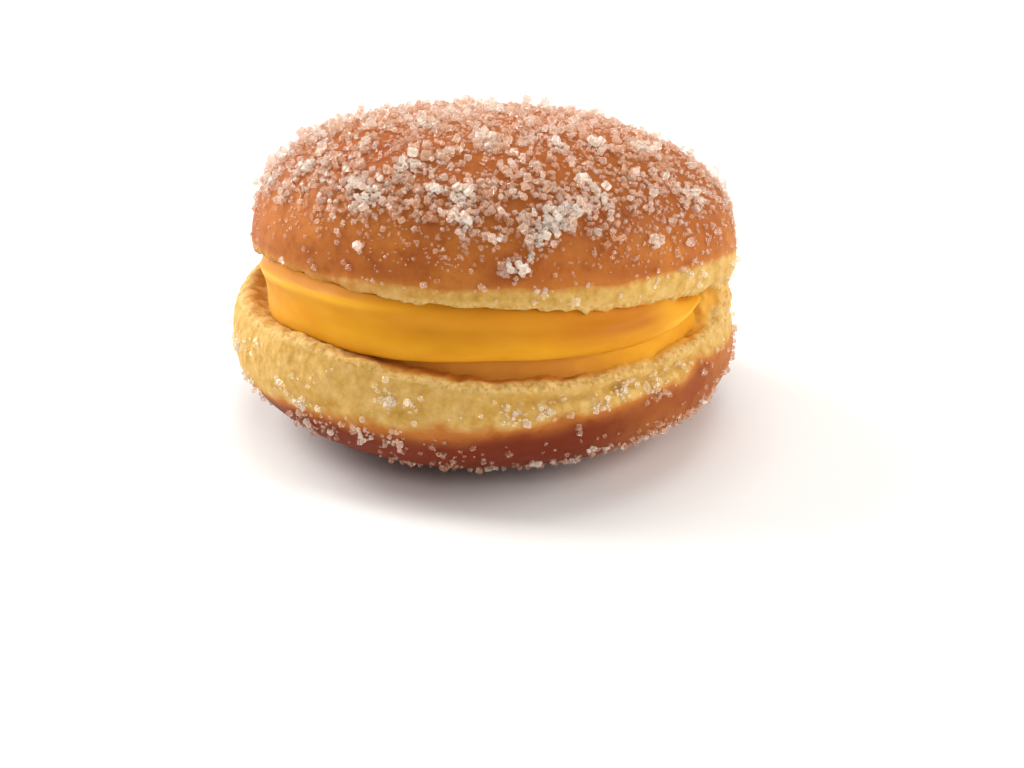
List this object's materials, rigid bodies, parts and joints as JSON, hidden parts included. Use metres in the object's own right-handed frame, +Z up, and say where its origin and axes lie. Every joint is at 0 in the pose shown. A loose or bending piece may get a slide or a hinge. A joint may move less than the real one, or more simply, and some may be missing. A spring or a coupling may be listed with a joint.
{
  "type": "custard filled doughnut",
  "caption": "Round sugared fried doughnut, cut open through its side and filled with a thick ribbon of egg custard.",
  "frame": {"origin": "the middle of the small flat spot on the underside that the doughnut rests on", "axes": "+Z up, the cut mouth with the custard opens towards -Y, the uncut hinge of dough is at +Y"},
  "size_m": [0.1001, 0.101, 0.0657],
  "materials": {
    "fried_dough": "golden brown fried crust with a pale ring at the cut, coated in coarse white sugar",
    "egg_custard": "smooth deep yellow cooked egg custard with a soft gloss",
    "coarse_sugar": "clear to milky crystals of coarse white sugar"
  },
  "bodies": {
    "root": {"dough_bun": "fried_dough", "custard_filling": "egg_custard"}
  },
  "joints": []
}
